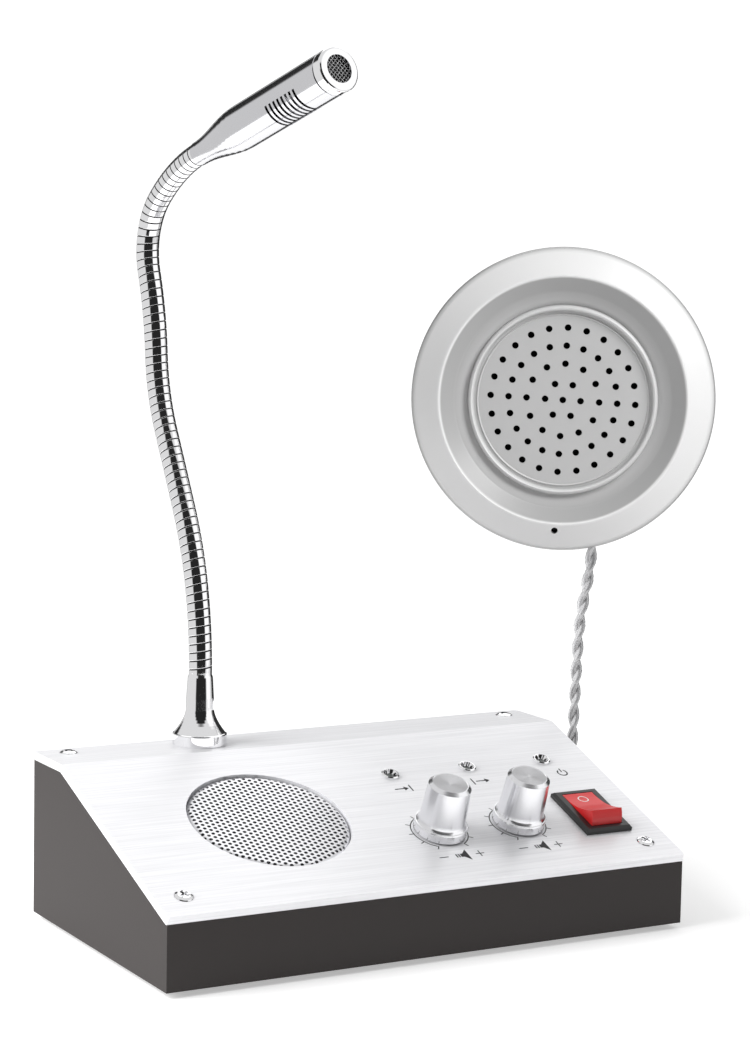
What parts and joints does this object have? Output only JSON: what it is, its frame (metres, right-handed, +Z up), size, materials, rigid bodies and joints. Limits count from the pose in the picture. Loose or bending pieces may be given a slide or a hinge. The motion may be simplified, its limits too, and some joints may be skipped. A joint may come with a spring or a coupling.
{
  "type": "teller window intercom",
  "caption": "Desk console with a bendable gooseneck microphone, volume knobs, rocker switch and lamps, wired to a round speaker that sticks to the customer's side of a window.",
  "frame": {"origin": "on the desk, under the middle of the console housing, at the underside of the rubber feet", "axes": "+Z up, -Y towards the teller, +X to the teller's right, along the console's width"},
  "size_m": [0.2486, 0.1979, 0.2874],
  "materials": {
    "charcoal_paint": "matt charcoal powder coat",
    "black_rubber": "matt",
    "brushed_aluminium": "brushed along the width, nearly white",
    "bright_chrome": "polished",
    "silver_sheet": "perforated sheet, satin",
    "black_foam": "closed cell foam",
    "dark_steel": "black stoved",
    "ferrite": "bare ferrite",
    "cone_paper": "doped paper",
    "plated_steel": "zinc plated",
    "satin_silver": "silver plated plastic, satin",
    "clear_lamp": "clear epoxy lens",
    "black_plastic": "moulded",
    "red_plastic": "glossy red",
    "bright_brass": "tin over brass",
    "circuit_laminate": "green solder mask",
    "blue_sleeve": "shrink sleeve",
    "woven_mesh": "woven wire",
    "pale_silver_plastic": "silver grey plastic",
    "pad_foam": "adhesive foam",
    "clear_cord": "clear insulated twin cord"
  },
  "bodies": {
    "console": {"housing": "charcoal_paint", "rubber_feet": "black_rubber", "top_panel": "brushed_aluminium", "panel_screws": "bright_chrome", "speaker_grille": "silver_sheet", "grille_gasket": "black_foam", "speaker_basket": "dark_steel", "speaker_magnet": "ferrite", "speaker_cone": "cone_paper", "speaker_clamps": "plated_steel", "speaker_nuts": "plated_steel", "left_pot": "plated_steel", "left_pot_nut": "plated_steel", "right_pot": "plated_steel", "right_pot_nut": "plated_steel", "led_bezels": "bright_chrome", "led_lamps": "clear_lamp", "led_nuts": "plated_steel", "switch_housing": "black_plastic", "switch_terminals": "bright_brass", "control_board": "circuit_laminate", "board_screws": "plated_steel", "amplifier_chip": "black_plastic", "heat_sink": "silver_sheet", "capacitors": "blue_sleeve", "dc_jack": "black_plastic", "speaker_socket": "black_plastic", "socket_nuts": "plated_steel", "gooseneck_flange": "bright_chrome", "flange_nut": "plated_steel", "gooseneck_1": "bright_chrome", "window_shell": "pale_silver_plastic", "window_grille": "pale_silver_plastic", "window_driver": "dark_steel", "window_cone": "cone_paper", "window_mic": "plated_steel", "window_back": "pale_silver_plastic", "window_screws": "plated_steel", "window_pad": "pad_foam", "cord_gland": "pale_silver_plastic", "speaker_cord": "clear_cord", "cord_coil": "clear_cord", "cord_tie": "black_rubber", "cord_plug": "black_plastic"},
    "left_volume": {"left_shaft": "plated_steel", "left_knob": "satin_silver"},
    "right_volume": {"right_shaft": "plated_steel", "right_knob": "satin_silver"},
    "power_rocker": {"switch_rocker": "red_plastic"},
    "neck_2": {"gooseneck_2": "bright_chrome"},
    "neck_3": {"gooseneck_3": "bright_chrome"},
    "neck_4": {"gooseneck_4": "bright_chrome"},
    "neck_5": {"gooseneck_5": "bright_chrome"},
    "neck_6": {"gooseneck_6": "bright_chrome"},
    "mic_head": {"gooseneck_7": "bright_chrome", "mic_body": "satin_silver", "mic_cap": "bright_chrome", "mic_mesh": "woven_mesh", "mic_capsule": "plated_steel", "mic_boot": "black_rubber"}
  },
  "joints": [
    {"name": "left_volume_turn", "type": "hinge", "parent": "console", "child": "left_volume", "pos_m": [0.0151, -0.0269, 0.03561], "axis": [0, -0.3522, 0.9359], "range_deg": [-150, 150]},
    {"name": "right_volume_turn", "type": "hinge", "parent": "console", "child": "right_volume", "pos_m": [0.0456, -0.0269, 0.03561], "axis": [0, -0.3522, 0.9359], "range_deg": [-150, 150]},
    {"name": "power_rock", "type": "hinge", "parent": "console", "child": "power_rocker", "pos_m": [0.07535, -0.02661, 0.03625], "axis": [1, 0, 0], "range_deg": [0, 30]},
    {"name": "neck_nod_1", "type": "hinge", "parent": "console", "child": "neck_2", "pos_m": [-0.03957, 0.0447, 0.10893], "axis": [0.9903, 0.1392, 0], "range_deg": [-20, 20], "deforming": ["gooseneck_1", "gooseneck_2"]},
    {"name": "neck_sway_2", "type": "hinge", "parent": "neck_2", "child": "neck_3", "pos_m": [-0.04074, 0.05302, 0.13558], "axis": [-0.1271, 0.9047, -0.4067], "range_deg": [-20, 20], "deforming": ["gooseneck_2", "gooseneck_3"]},
    {"name": "neck_nod_3", "type": "hinge", "parent": "neck_3", "child": "neck_4", "pos_m": [-0.04236, 0.06452, 0.16105], "axis": [0.9903, 0.1392, 0], "range_deg": [-20, 20], "deforming": ["gooseneck_3", "gooseneck_4"]},
    {"name": "neck_sway_4", "type": "hinge", "parent": "neck_4", "child": "neck_5", "pos_m": [-0.04333, 0.07143, 0.18801], "axis": [-0.1388, 0.9879, -0.0698], "range_deg": [-20, 20], "deforming": ["gooseneck_4", "gooseneck_5"]},
    {"name": "neck_nod_5", "type": "hinge", "parent": "neck_5", "child": "neck_6", "pos_m": [-0.04404, 0.07647, 0.21548], "axis": [0.9903, 0.1392, 0], "range_deg": [-20, 20], "deforming": ["gooseneck_5", "gooseneck_6"]},
    {"name": "neck_sway_6", "type": "hinge", "parent": "neck_6", "child": "mic_head", "pos_m": [-0.04311, 0.06987, 0.24125], "axis": [-0.0967, 0.6879, 0.7193], "range_deg": [-20, 20], "deforming": ["gooseneck_6", "gooseneck_7"]}
  ]
}
